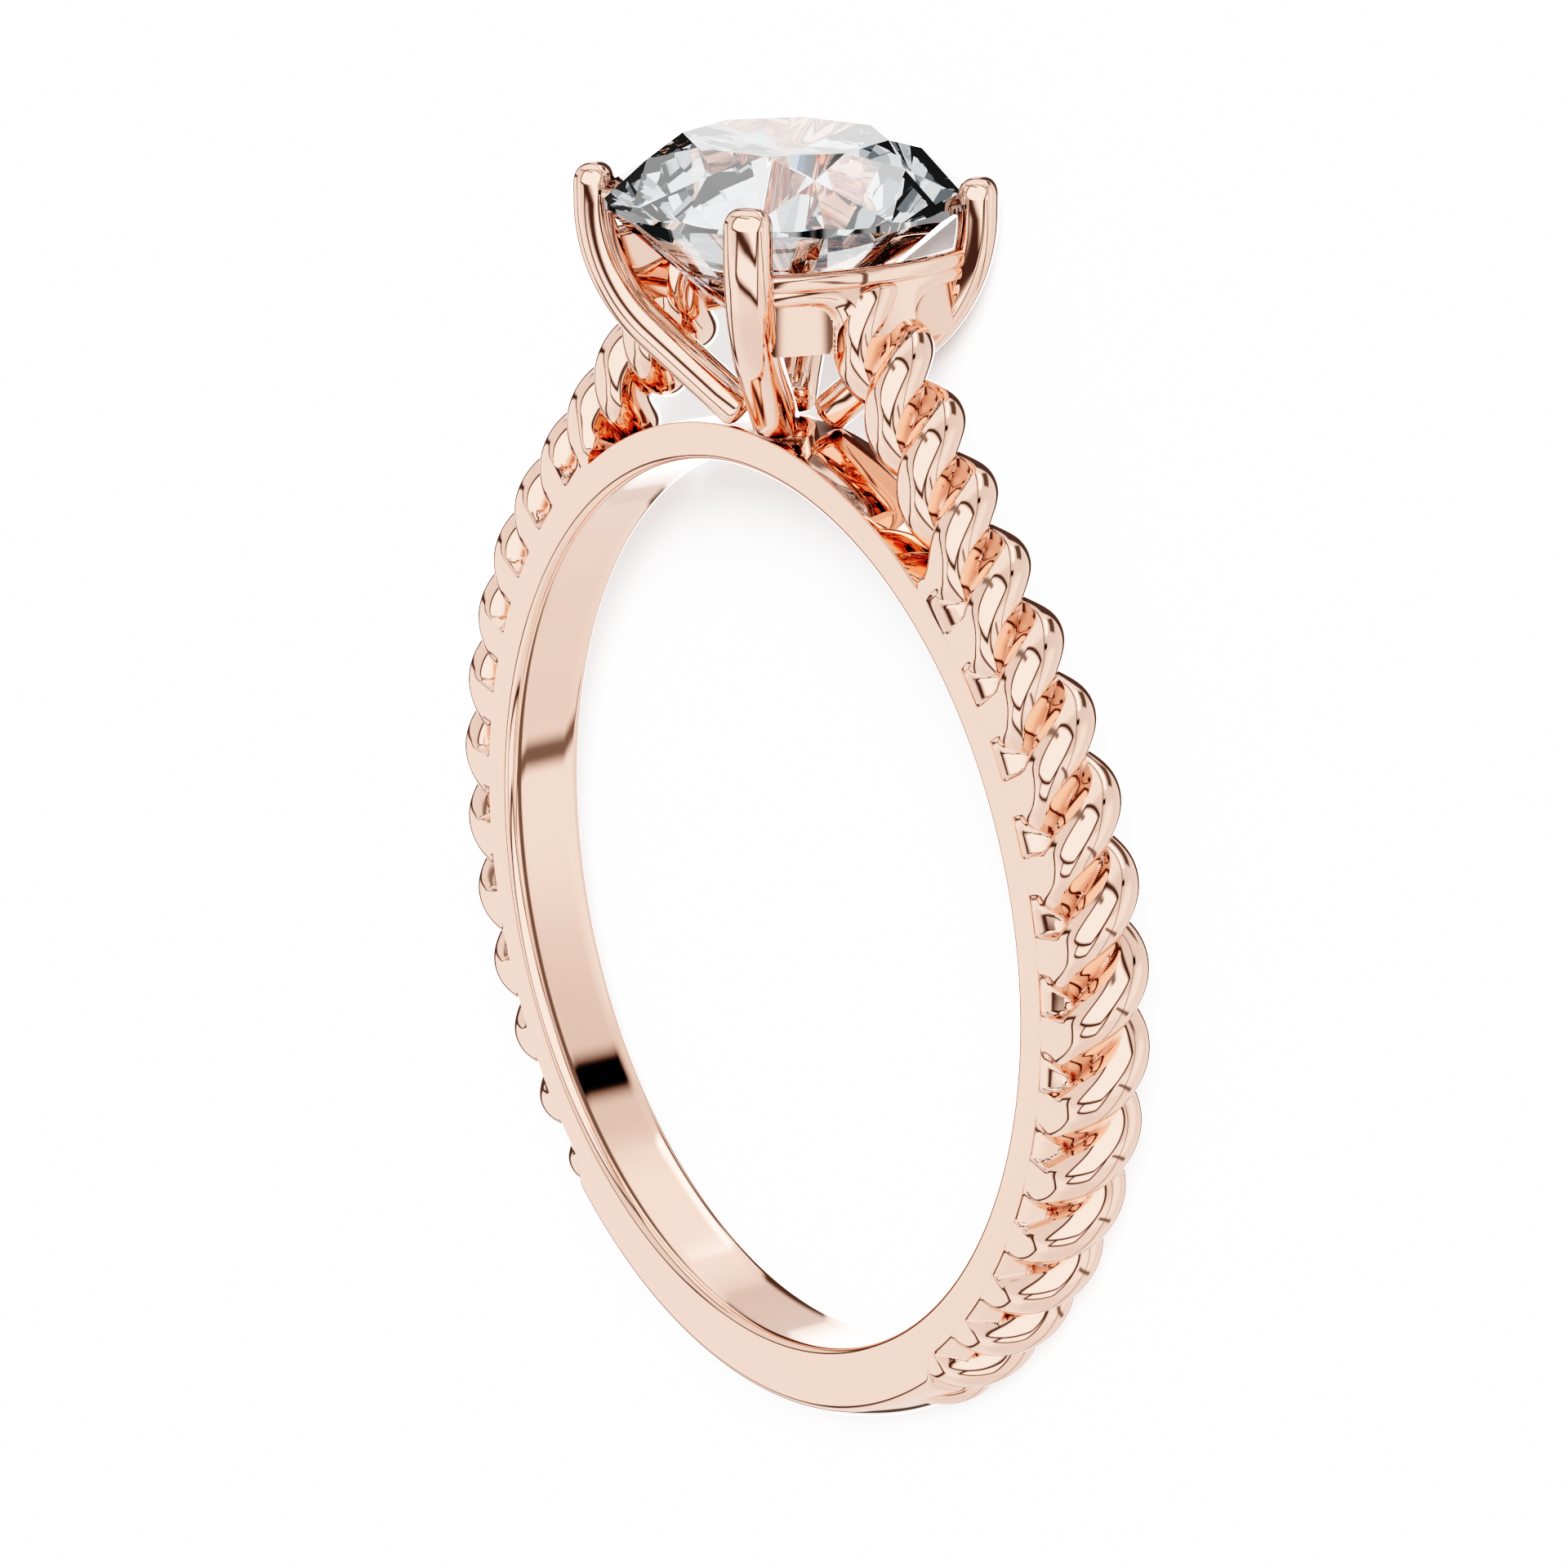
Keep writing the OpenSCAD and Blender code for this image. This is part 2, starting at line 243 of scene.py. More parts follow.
def tube_faces(m, n, closed):
    """The faces of m rings of n points: quads between neighbours, and a flat face on each open end."""
    i = np.arange(m if closed else m - 1)[:, None]
    j = np.arange(n)[None, :]
    k, nj = (i + 1) % m, (j + 1) % n
    quads = np.stack([i * n + j, k * n + j, k * n + nj, i * n + nj], -1).reshape(-1, 4)
    if closed:
        return [quads]
    ends = np.stack([np.arange(n), (m - 1) * n + np.arange(n)[::-1]])
    return [quads, ends]


def metal_tube(name, rings, sharp, closed=False):
    """A metal piece whose surface is carried through rings, an array of ring, point and coordinate."""
    m, n = rings.shape[:2]
    faces = tube_faces(m, n, closed)
    make_piece(name, rings.reshape(-1, 3), faces, ROSE_GOLD, METAL_NODE, sharp)


# Materials

# The metal's finish, in mm: how wide the clouds of polish are, and how far off metal closes a crease for
# the painted shade in it
POLISH_CLOUD, CREASE_REACH = 2.5, 0.3
# Roughness of the polish, from the clearest to the cloudiest place
POLISH_ROUGHNESS = (0.02, 0.05)


def rose_gold():
    """14 carat rose gold, cast and mirror polished.

    Gold with copper in it: a warm pale pink where it mirrors light once, and painted shade in its grooves
    and
    creases: a red brown colour that stands in for light bounced on it two or three times there.
    The wheel leaves it nearly sharp, with a faint cloudiness that drifts over millimetres.
    """
    m = bpy.data.materials.new("polished_rose_gold")
    m.use_nodes = True
    t = m.node_tree
    t.nodes.clear()
    place = node(t, "ShaderNodeTexCoord")
    clouds = node(
        t,
        "ShaderNodeTexNoise",
        {"Vector": place.outputs["Object"], "Scale": 1 / (POLISH_CLOUD * MM), "Detail": 2.0},
    )
    haze = node(
        t,
        "ShaderNodeMapRange",
        {
            "Value": clouds.outputs["Fac"],
            "From Min": 0.3,
            "From Max": 0.7,
            "To Min": POLISH_ROUGHNESS[0],
            "To Max": POLISH_ROUGHNESS[1],
        },
    )
    # the alloy's two shades, mixed by the clouds (sockets 6 and 7 are the colours of this node)
    tint = node(
        t,
        "ShaderNodeMix",
        {0: clouds.outputs["Fac"], 6: linear("#f5bfa9"), 7: linear("#f7c3ae")},
        data_type="RGBA",
    )
    # painted shade: red brown in the creases, darker where ambient occlusion finds metal close by
    crease_occlusion = node(t, "ShaderNodeAmbientOcclusion", {"Distance": CREASE_REACH * MM}, samples=16)
    unshaded = node(
        t,
        "ShaderNodeMapRange",
        {"Value": crease_occlusion.outputs["AO"], "From Min": 0.0, "From Max": 0.8, "To Min": 0.0, "To Max": 1.0},
        interpolation_type="SMOOTHSTEP",
    )
    # the painted crease shade mixed into the alloy's colour, full where unshaded is 0
    colour = node(
        t,
        "ShaderNodeMix",
        {0: unshaded.outputs["Result"], 6: linear("#7a2408"), 7: tint.outputs[2]},
        data_type="RGBA",
    )
    metal = node(
        t,
        "ShaderNodeBsdfPrincipled",
        {"Base Color": colour.outputs[2], "Roughness": haze.outputs["Result"], "Metallic": 1.0},
    )
    node(t, "ShaderNodeOutputMaterial", {"Surface": metal.outputs["BSDF"]})
    return m


def diamond():
    """A colourless brilliant cut diamond, polished: clear, with the high IOR that makes it sparkle."""
    m = bpy.data.materials.new("clear_cut_diamond")
    m.use_nodes = True
    t = m.node_tree
    t.nodes.clear()
    glass = node(
        t,
        "ShaderNodeBsdfPrincipled",
        {
            "Base Color": linear("#ffffff"),
            "Roughness": 0.0,
            "IOR": 2.417,
            "Transmission Weight": 1.0,
        },
    )
    node(t, "ShaderNodeOutputMaterial", {"Surface": glass.outputs["BSDF"]})
    return m


def studio_paper():
    """Matte white paper sweep."""
    m = bpy.data.materials.new("white_paper")
    m.use_nodes = True
    t = m.node_tree
    t.nodes.clear()
    paper = node(t, "ShaderNodeBsdfDiffuse", {"Color": linear("#f4f4f4")})
    node(t, "ShaderNodeOutputMaterial", {"Surface": paper.outputs["BSDF"]})
    return m


ROSE_GOLD = rose_gold()
DIAMOND = diamond()


# Band


def band_rings(steps=1080, corner=8):
    """The band's profile, carried once round the ring.

    Inner face, rounded inner edges, side faces, and an outside that is flat under the ropes and
    rises to a dome in the plain bottom section: side radius + rise (1 - u^2), u across the width.
    """
    a = np.linspace(0, 360, steps, endpoint=False)
    off_top = np.minimum(a, 360 - a)
    plain = blend_between(off_top, PLAIN_FROM, PLAIN_FULL)
    roped = blend_between(off_top, ROPES_FROM, ROPES_FULL)
    side_r = BAND_R + (PLAIN_R - BAND_R) * plain
    edge = EDGE_TOP + (EDGE_ROPES - EDGE_TOP) * roped + (EDGE_PLAIN - EDGE_ROPES) * plain

    def outside(y):
        """Radius of the outside at y: the side radius and the dome over it."""
        return side_r + PLAIN_CROWN * plain * (1 - (y / HALF_W) ** 2)

    inner_face = np.linspace(0, 1, 4)[:-1, None]
    quarter = np.linspace(0, np.pi / 2, corner)[:, None]
    side_face = np.linspace(0, 1, 5)[1:-1, None]
    outer_face = np.linspace(1, 0, 9)[1:, None]
    low, high = IN_R + COMFORT_R, side_r - edge
    edge_y = HALF_W - edge * (1 - np.cos(quarter))
    outer_y = outer_face * (HALF_W - edge)
    # half of the profile, from the middle of the inner face round to the middle of the outside
    runs = [
        (inner_face * (HALF_W - COMFORT_R), IN_R),
        (HALF_W - COMFORT_R * (1 - np.sin(quarter)), IN_R + COMFORT_R * (1 - np.cos(quarter))),
        (HALF_W, low + side_face * (high - low)),
        (edge_y, outside(edge_y) - edge * (1 - np.sin(quarter))),
        (outer_y, outside(outer_y)),
    ]
    half = np.concatenate([np.stack(np.broadcast_arrays(y, r, a)[:2], 1) for y, r in runs])
    y = np.concatenate([half[:, 0], -half[-2:0:-1, 0]])
    r = np.concatenate([half[:, 1], half[-2:0:-1, 1]])
    return around(r.T, a[:, None], y.T)


metal_tube("band_and_plain_section", band_rings(), sharp=60, closed=True)


# Rope


def lobe(f):
    """Outline of two round wires side by side, from its centre, as a share of the rope's radius.

    Each wire is an ellipse, whose far side is met by a line from the centre at the larger root of
    (r cos f - off)^2 / deep^2 + (r sin f)^2 / wide^2 = 1.
    """
    c, s = np.cos(f), np.sin(f)
    p = (c / LOBE_DEEP) ** 2 + (s / LOBE_WIDE) ** 2
    q = np.abs(c) * LOBE_OFF / LOBE_DEEP**2
    return (q + np.sqrt(q * q + p * (1 - (LOBE_OFF / LOBE_DEEP) ** 2))) / p


def skirt(turn, d, sunk):
    """How far the outline reaches where each wire runs straight down to the band, as the same share.

    A wire's widest point is off sin(t) + w from the centre, w = hypot(deep sin t, wide cos t), and
    off cos(t) + (deep^2 - wide^2) sin(t) cos(t) / w above it. From there a wall drops to the band,
    once the wire has turned to the side. Between the wires a sloping web closes the pocket: half
    width - slope x height, from where the rope's centre would be if it weren't sunk. Both end one
    radius below the centre.
    """
    up, across = np.cos(d), np.sin(d)
    floor = 1.0 / np.maximum(-up, 1e-3)
    best = np.zeros(np.broadcast_shapes(turn.shape, d.shape))
    for t in (turn, turn + np.pi):
        s, c = np.sin(t), np.cos(t)
        w = np.hypot(LOBE_DEEP * s, LOBE_WIDE * c)
        reach = LOBE_OFF * np.abs(s) + w
        high = LOBE_OFF * c + (LOBE_DEEP**2 - LOBE_WIDE**2) * s * c / w * np.sign(s)
        seat = blend_between(np.abs(s), SEAT_FROM, SEAT_FULL)
        side = across * np.sign(s)
        wall = np.minimum(reach / np.maximum(side, 1e-3), floor)
        best = np.maximum(best, np.where((side > 0) & (wall * up <= high), seat * wall, 0))
    web = (WEB_WIDE + WEB_SLOPE * sunk) / np.maximum(np.abs(across) + WEB_SLOPE * up, 1e-3)
    web = np.minimum(web, floor)
    return np.maximum(best, np.where(web * up < WEB_TOP + sunk, web, 0))


def rope_rings(steps=760, around_half=48, cap_steps=6):
    """A two-strand rope: its outline turns once in a lay while it follows the band and then the head.

    s is the length along it, below 0 where it lies on the band. Its sides are cut flush with the
    band by a soft minimum, side - rim log(1 + exp((side - width) / rim)).
    """
    s_low = -np.radians(ROPE_ENDS - ROPE_LEAVES) * ROPE_RING_R
    s = np.linspace(s_low, ROPE_UP, steps)
    tip = ROPE_CAP * np.sin(np.linspace(0, np.pi / 2, cap_steps + 1)[1:])
    s = np.concatenate([s, ROPE_UP + tip])
    in_cap = np.clip(s - ROPE_UP, 0, None) / ROPE_CAP
    shrink = np.sqrt(np.clip(1 - in_cap**2, 0.02, 1))
    angle = ROPE_LEAVES - np.degrees(s / ROPE_RING_R)
    on_band = s <= 0
    a = np.where(on_band, angle, ROPE_LEAVES)
    sink = ROPE_SINK * blend_between(angle, SINK_FROM, SINK_TO)
    sink += ROPE_DIVE * blend_between(angle, DIVE_FROM, ROPE_ENDS)
    ring_r = ROPE_RING_R - sink * on_band
    centre = around(ring_r, a, 0.0)
    lean = np.radians(ROPE_LEAVES)
    centre += np.where(on_band, 0.0, s)[:, None] * [-np.cos(lean), 0.0, np.sin(lean)]
    out = around(1.0, a, 0.0)
    turn = np.radians(ROPE_PHASE + 360 * (s - PHASE_AT) / ROPE_LAY)[:, None]
    d = np.linspace(0, 2 * np.pi, 2 * around_half, endpoint=False)[None, :]
    wires = lobe(d - turn)
    sunk = (ROPE_RING_R - ring_r)[:, None] / ROPE_R
    seated = smooth((SEATED_TO - s) / SEATED_FADE)[:, None]
    r = wires + seated * np.maximum(skirt(turn, d, sunk) - wires, 0)
    r = ROPE_R * shrink[:, None] * r
    rise, wide = r * np.cos(d), ROPE_STRETCH * r * np.sin(d)
    # what is buried in the band stays clear of the finger hole
    rise = np.where(on_band[:, None], np.maximum(rise, BURIED_R - ring_r[:, None]), rise)
    side = ROPE_SIDE - DRAW_IN * blend_between(angle, DRAW_FROM, DRAW_TO)[:, None]
    wide = np.sign(wide) * (side - ROPE_RIM * np.logaddexp(0, (side - np.abs(wide)) / ROPE_RIM))
    rings = centre[:, None, :] + rise[..., None] * out[:, None, :]
    rings[..., 1] += wide
    return rings


rope = rope_rings()
metal_tube("rope_right", rope, sharp=50)
metal_tube("rope_left", rope * [-1.0, 1.0, 1.0], sharp=50)


# Prongs


def prong_rings(arm_steps=6, bend_steps=33, around_half=24):
    """A crowned, rounded section carried up a leaning arm, round a bend and up to a domed cap.

    The section is (half depth x |cos t|^k, half width x |sin t|^k), k = 2 / squareness, and it
    stands along +X. At the foot and the cap it narrows by 1 - cos(q)^power, q along the rounding.
    """
    reach = PRONG_ARM - FOOT_R
    foot_x = PRONG_X - BEND_R * (1 - np.cos(PRONG_LEAN)) - reach * np.sin(PRONG_LEAN)
    foot_z = BEND_Z - BEND_R * np.sin(PRONG_LEAN) - reach * np.cos(PRONG_LEAN)
    # lengths along the arm from its foot, angles round the bend, and heights up the cap
    arm = np.concatenate([-FOOT_R * np.sin(FOOT_RINGS), np.linspace(0, reach, arm_steps)[1:-1]])
    bend = np.linspace(PRONG_LEAN, 0, bend_steps)
    cap_z = PRONG_TOP - CAP_R * (1 - np.sin(CAP_RINGS))
    # how much narrower the section is on each side
    foot_inset = FOOT_INSET * (1 - np.cos(FOOT_RINGS) ** FOOT_POWER)
    cap_inset = (PRONG_T / 2 - CAP_TIP) * (1 - np.cos(CAP_RINGS) ** CAP_POWER)
    x = [
        foot_x + arm * np.sin(PRONG_LEAN),
        PRONG_X - BEND_R * (1 - np.cos(bend)),
        np.full(len(cap_z), PRONG_X),
    ]
    z = [foot_z + arm * np.cos(PRONG_LEAN), BEND_Z - BEND_R * np.sin(bend), cap_z]
    lean = [np.full(len(arm), PRONG_LEAN), bend, np.zeros(len(cap_z))]
    inset = [foot_inset, np.zeros(arm_steps - 2 + bend_steps), cap_inset]
    x, z, lean, inset = [np.concatenate(parts)[:, None] for parts in (x, z, lean, inset)]
    t = np.linspace(0, 2 * np.pi, around_half * 2, endpoint=False)[None, :]
    c, s = np.cos(t), np.sin(t)
    depth = (PRONG_T / 2 - inset) * np.sign(c) * np.abs(c) ** (2 / PRONG_SQUARE)
    width = (PRONG_W / 2 - inset) * np.sign(s) * np.abs(s) ** (2 / PRONG_SQUARE)
    return np.stack([x + depth * np.cos(lean), width, z - depth * np.sin(lean)], -1)


prong = prong_rings()
for name, degrees in (
    ("prong_front_right", -45),
    ("prong_back_right", 45),
    ("prong_back_left", 135),
    ("prong_front_left", -135),
):
    metal_tube(name, turned(prong, degrees), sharp=60)


# Gallery


def rail_rings(steps=90, n=40):
    """A bar with a rounded square section, carried along the rail's bow from prong to prong.

    The section's radius at an angle t is half / (|cos t|^k + |sin t|^k)^(1/k), k its squareness.
    """
    reach = (GIRDLE_R - RAIL_REACH + RAIL_D / 2) * np.sin(np.pi / 4)
    bow = np.arcsin(reach / BOW_R)
    a = np.linspace(-bow, bow, steps)[:, None]
    t = np.linspace(0, 2 * np.pi, n, endpoint=False)[None, :]
    c, s = np.cos(t), np.sin(t)
    power = np.abs(c) ** RAIL_SQUARE + np.abs(s) ** RAIL_SQUARE
    k = RAIL_D / 2 / power ** (1 / RAIL_SQUARE)
    r = BOW_R + k * c
    x = RAIL_MID_X - BOW_R + r * np.cos(a)
    z = np.broadcast_to(RAIL_Z + k * s, x.shape)
    return np.stack([x, r * np.sin(a), z], -1)


def prong_reach(z):
    """How far along the gallery the prongs' bend is at a height, seen from the front."""
    drop = np.clip(BEND_Z - z, 0, None)
    return (PRONG_X - BEND_R + np.sqrt(BEND_R**2 - drop**2)) * np.sin(np.pi / 4)


def arch(in_y, in_z, size):
    """1 on an arch of a width and height round its corner, less inside and more outside."""
    return ((in_y / size[0]) ** 4 + (in_z / size[1]) ** 4) ** 0.25


def wall_rings(steps=220, front=90, back=12):
    """The gallery wall under the rail, with a panel in the middle that slopes out to the rope.

    In front it stands out by a height over y and z: a shallow recess inside an arch beside each
    prong, a sloped flank round that arch, and the middle panel, which comes forward downwards.
    """
    a = np.linspace(-1, 1, steps)[:, None]
    y_low = np.abs(a) * prong_reach(WALL_LOW)
    low = WALL_LOW - WALL_DIP * blend_between(y_low, DIP_FROM, DIP_FULL)
    z = low + (RAIL_Z - low) * np.linspace(0, 1, front)[None, :]
    y = a * prong_reach(np.maximum(z, WALL_LOW))
    in_y = np.clip(ARCH_Y - np.abs(y), 0, None)
    in_z = np.clip(z - ARCH_Z, 0, None)
    inner, outer = arch(in_y, in_z, ARCH_INNER), arch(in_y, in_z, ARCH_OUTER)
    past, before = np.clip(inner - 1, 0, None), np.clip(1 - outer, 0, None)
    flank = past / np.maximum(past + before, 1e-6)
    panel = PANEL_SLOPE * np.clip(PANEL_TOP - z, 0, PANEL_DROP)
    recess = RECESS_DEEP * (1 - blend_between(inner, RECESS_FROM, RECESS_TO))
    face_r = BOW_R + RAIL_D / 2 - WALL_BEHIND_RAIL
    r_front = face_r + panel * flank - recess
    r_back = min(face_r - WALL_T, r_front.min() - WALL_T_LEAST)
    z_back = RAIL_Z + (low - RAIL_Z) * np.linspace(0, 1, back)[None, :]
    y_back = a * prong_reach(np.maximum(z_back, WALL_LOW))
    r = np.concatenate([r_front, np.full(z_back.shape, r_back)], 1)
    z = np.concatenate([z, z_back], 1)
    y = np.concatenate([y, y_back], 1)
    x = RAIL_MID_X - BOW_R + np.sqrt(r * r - y * y)
    return np.stack([x, y, z], -1)


for side, degrees in (("right", 0), ("left", 180)):
    metal_tube("rail_" + side, turned(rail_rings(), degrees), sharp=60)
    metal_tube("gallery_wall_" + side, turned(wall_rings(), degrees), sharp=35)


# Stone


def brilliant(arc=6):
    """A round brilliant: 8 fold, with a table, stars, kites, halves, mains and a round girdle.

    The girdle's points lie on a true circle. Their heights come from the planes of the half facets,
    so the girdle is scalloped as a real one is.
    """
    girdle_top, table_z = GIRDLE_Z + GIRDLE_H, GIRDLE_Z + GIRDLE_H + CROWN_H
    culet_z = GIRDLE_Z - PAVILION_H
    star_r = (GIRDLE_R + TABLE_R * np.cos(np.pi / 8)) / 2
    star_z = table_z - (star_r * np.cos(np.pi / 8) - TABLE_R) * CROWN_H / (GIRDLE_R - TABLE_R)
    lower_r = LOWER_HALVES * GIRDLE_R
    lower_z = culet_z + lower_r * np.cos(np.pi / 8) * PAVILION_H / GIRDLE_R

    def ring(r, z, count, turn=0.0):
        """Points spread evenly round a circle of radius r at a height."""
        a = 2 * np.pi * np.arange(count) / count + turn
        return np.stack([r * np.cos(a), r * np.sin(a), np.full(count, z)], -1)

    n = 16 * arc

    def girdle(z, apexes):
        """The girdle's edge, where the half facets through the apexes cut the round girdle."""
        p = ring(GIRDLE_R, z, n)
        corner = ring(GIRDLE_R, z, 16)
        for k in range(16):
            a, b, apex = corner[k], corner[(k + 1) % 16], apexes[k // 2]
            normal = np.cross(b - a, apex - a)
            i = np.arange(k * arc, (k + 1) * arc)
            p[i, 2] = a[2] - ((p[i, :2] - a[:2]) @ normal[:2]) / normal[2]
        return p

    table, star = ring(TABLE_R, table_z, 8), ring(star_r, star_z, 8, np.pi / 8)
    lower = ring(lower_r, lower_z, 8, np.pi / 8)
    points = np.concatenate(
        [table, star, girdle(girdle_top, star), girdle(GIRDLE_Z, lower), lower, [[0, 0, culet_z]]]
    )
    # numbers of the points: table 0 to 7, stars from 8, then both girdle edges, lower halves, culet
    top = 16 + np.arange(n)
    under = top + n
    lower0, culet = 16 + 2 * n, 24 + 2 * n
    k = np.arange(8)
    last = (k + 7) % 8
    first_arcs = (2 * k[:, None] * arc + np.arange(arc + 1)) % n
    second_arcs = ((2 * k[:, None] + 1) * arc + np.arange(arc + 1)) % n
    main = 2 * k * arc
    faces = [
        k[None, :],
        np.stack([k, 8 + k, top[main], 8 + last], -1)[:, ::-1],
        np.stack([k, (k + 1) % 8, 8 + k], -1)[:, ::-1],
        np.concatenate([8 + k[:, None], top[first_arcs]], 1),
        np.concatenate([8 + k[:, None], top[second_arcs]], 1),
        np.concatenate([lower0 + k[:, None], under[first_arcs]], 1)[:, ::-1],
        np.concatenate([lower0 + k[:, None], under[second_arcs]], 1)[:, ::-1],
        np.stack([under[main], lower0 + k, np.full(8, culet), lower0 + last], -1)[:, ::-1],
        np.stack([top, under, np.roll(under, -1), np.roll(top, -1)], -1),
    ]
    return points, faces


stone_points, stone_faces = brilliant()
make_piece(
    "round_brilliant", stone_points, stone_faces, DIAMOND, STONE_NODE, sharp=8
)


# Studio

# Half the side of the sheet of paper under the ring, in metres
PAPER_HALF = 1.5


def paper_sheet():
    """A flat sheet of paper on the floor, which the metal and the stone don't show."""
    corners = [(x * PAPER_HALF, y * PAPER_HALF, 0) for x, y in ((-1, -1), (1, -1), (1, 1), (-1, 1))]
    mesh = bpy.data.meshes.new("paper_sweep")
    mesh.from_pydata(corners, [], [(0, 1, 2, 3)])
    mesh.materials.append(studio_paper())
    sheet = bpy.data.objects.new("paper_sweep", mesh)
    bpy.context.scene.collection.objects.link(sheet)
    sheet.visible_glossy = False
    sheet.visible_transmission = False


paper_sheet()


# What the polished metal mirrors: softboxes, some in black frames, and dark gaps around the ring, in
# laid directions. Each is a rectangle seen from the ring: azimuth, elevation and turn in degrees,
# half width and half height as slopes, softness of its border as a slope, width of its black frame,
# and brightness. Later ones stand in front of earlier ones
STUDIO = (
    # soft light from the back, and the pale table on the right
    (105, -2, 0, 0.45, 0.60, 0.20, 0.0, 0.92),
    (8, -42, -20, 0.58, 0.26, 0.15, 0.0, 0.88),
    (280, -3, -20, 0.42, 0.60, 0.20, 0.0, 0.66),
    # panels before the ring, which its head and the strands' sides mirror
    (-8, -8, 0, 0.34, 0.34, 0.12, 0.0, 0.88),
    (-112, 56, 0, 0.50, 0.28, 0.12, 0.0, 0.92),
    (-22, 38, 0, 0.42, 0.42, 0.06, 0.14, 1.05),
    # the softbox that the side of the band mirrors
    (203, 31, 0, 0.42, 0.34, 0.06, 0.18, 0.84),
    # the main softbox over the ring
    (36, 40, -43, 0.82, 0.77, 0.09, 0.25, 1.15),
    # dark gaps between the panels, and last a bright strip
    (105, 34, -4, 0.60, 0.08, 0.06, 0.0, 0.15),
    (104, -45, 12, 0.24, 0.14, 0.05, 0.0, 0.08),
    (-24, -30, 53, 0.69, 0.04, 0.03, 0.0, 0.12),
    (59, -24, 0, 0.09, 0.09, 0.05, 0.0, 0.0),
    (99, -29, 0, 0.30, 0.04, 0.03, 0.0, 1.8),
)
FRAME_LEVEL = 0.05
# The light between the panels: how it falls off along X, Y and Z, and its level
FALL_OFF, BASE_LEVEL = (-0.02, -0.09, 0.0), 0.69
# Discs behind and below the ring: a dark gap, and in front of it a white backdrop, out to its edge
# and then its bright middle. Azimuth, elevation and angle in degrees, softness in radians, and level
GAP = (-176.0, -34.0, 44.0, 0.03, 0.06)
BACKDROP = ((-166.5, -34.0, 28.0, 0.03, 0.95), (-166.5, -34.0, 18.0, 0.2, 3.0))
# The flat wall of the finger hole mirrors only a slice of the studio, between two angles from its
# axis in degrees, with a softness in radians. There the light is a little lower, no frame shows and
# the gap is mostly filled
HOLE_SLICE = (57.0, 62.0, 0.02)
HOLE_DIM, HOLE_FILLS_GAP = 0.05, 0.85
# The dark line of the table's edge, as a slice round the same axis, and its level
TABLE_SLICE, TABLE_LEVEL = (63.2, 66.0, 0.01), 0.10
# The room that the stone's facets look out at: where each shade of its panels starts, from 0 to 1
ROOM_SHADES = (
    (0.0, "#0c0e10"),
    (0.18, "#5d6266"),
    (0.36, "#a9aeb1"),
    (0.60, "#dde1e3"),
    (0.88, "#f4f6f7"),
    (0.97, "#7fbcff"),
)
ROOM_PANELS = 5.0
PAPER_LIGHT = 0.9


def towards(azimuth, elevation):
    """Unit vector of a direction in degrees."""
    a, e = np.radians([azimuth, elevation])
    return (float(np.cos(e) * np.cos(a)), float(np.cos(e) * np.sin(a)), float(np.sin(e)))


def off_direction(tree, sky, direction):
    """The angle between the sky's directions and one direction, in radians."""
    facing = node(tree, "ShaderNodeVectorMath", {0: sky, 1: direction}, operation="DOT_PRODUCT")
    angle = node(tree, "ShaderNodeMath", {0: facing.outputs["Value"]}, operation="ARCCOSINE")
    return angle.outputs[0]


def off_panel(tree, sky, azimuth, elevation, turn):
    """How far the sky's directions are across and along a panel, as slopes from its middle."""
    rotation = tuple(np.radians([turn, -elevation, azimuth]).tolist())
    facing = node(
        tree, "ShaderNodeMapping", {"Vector": sky, "Rotation": rotation}, vector_type="TEXTURE"
    )
    part = node(tree, "ShaderNodeSeparateXYZ", {"Vector": facing.outputs[0]})
    ahead = node(tree, "ShaderNodeMath", {0: part.outputs["X"], 1: 0.01}, operation="MAXIMUM")
    slopes = []
    for axis in "YZ":
        slope = node(
            tree, "ShaderNodeMath", {0: part.outputs[axis], 1: ahead.outputs[0]}, operation="DIVIDE"
        )
        size = node(tree, "ShaderNodeMath", {0: slope.outputs[0]}, operation="ABSOLUTE")
        slopes.append(size.outputs[0])
    return slopes


def inside(tree, limits):
    """1 where each of some distances is below its limit, 0 outside, with a soft border.

    limits holds a row for each distance: the distance, its limit and half the border's width.
    """
    mask = None
    for distance, limit, soft in limits:
        below = node(
            tree,
            "ShaderNodeMapRange",
            {
                "Value": distance,
                "From Min": limit - soft,
                "From Max": limit + soft,
                "To Min": 1.0,
                "To Max": 0.0,
            },
            interpolation_type="SMOOTHSTEP",
        ).outputs["Result"]
        if mask is None:
            mask = below
        else:
            mask = node(tree, "ShaderNodeMath", {0: mask, 1: below}, operation="MULTIPLY").outputs[0]
    return mask


def between(tree, angle, near, far, soft):
    """1 where an angle is between two limits in degrees, 0 outside, with soft borders."""
    outer = inside(tree, [(angle, np.radians(far), soft)])
    inner = inside(tree, [(angle, np.radians(near), soft)])
    return node(tree, "ShaderNodeMath", {0: outer, 1: inner}, operation="SUBTRACT").outputs[0]


def less_in(tree, mask, hole, share):
    """A mask with a share of it taken away where the wall of the finger hole mirrors it."""
    left = node(tree, "ShaderNodeMath", {0: hole, 1: -share, 2: 1.0}, operation="MULTIPLY_ADD")
    parts = {0: mask, 1: left.outputs[0]}
    return node(tree, "ShaderNodeMath", parts, operation="MULTIPLY").outputs[0]


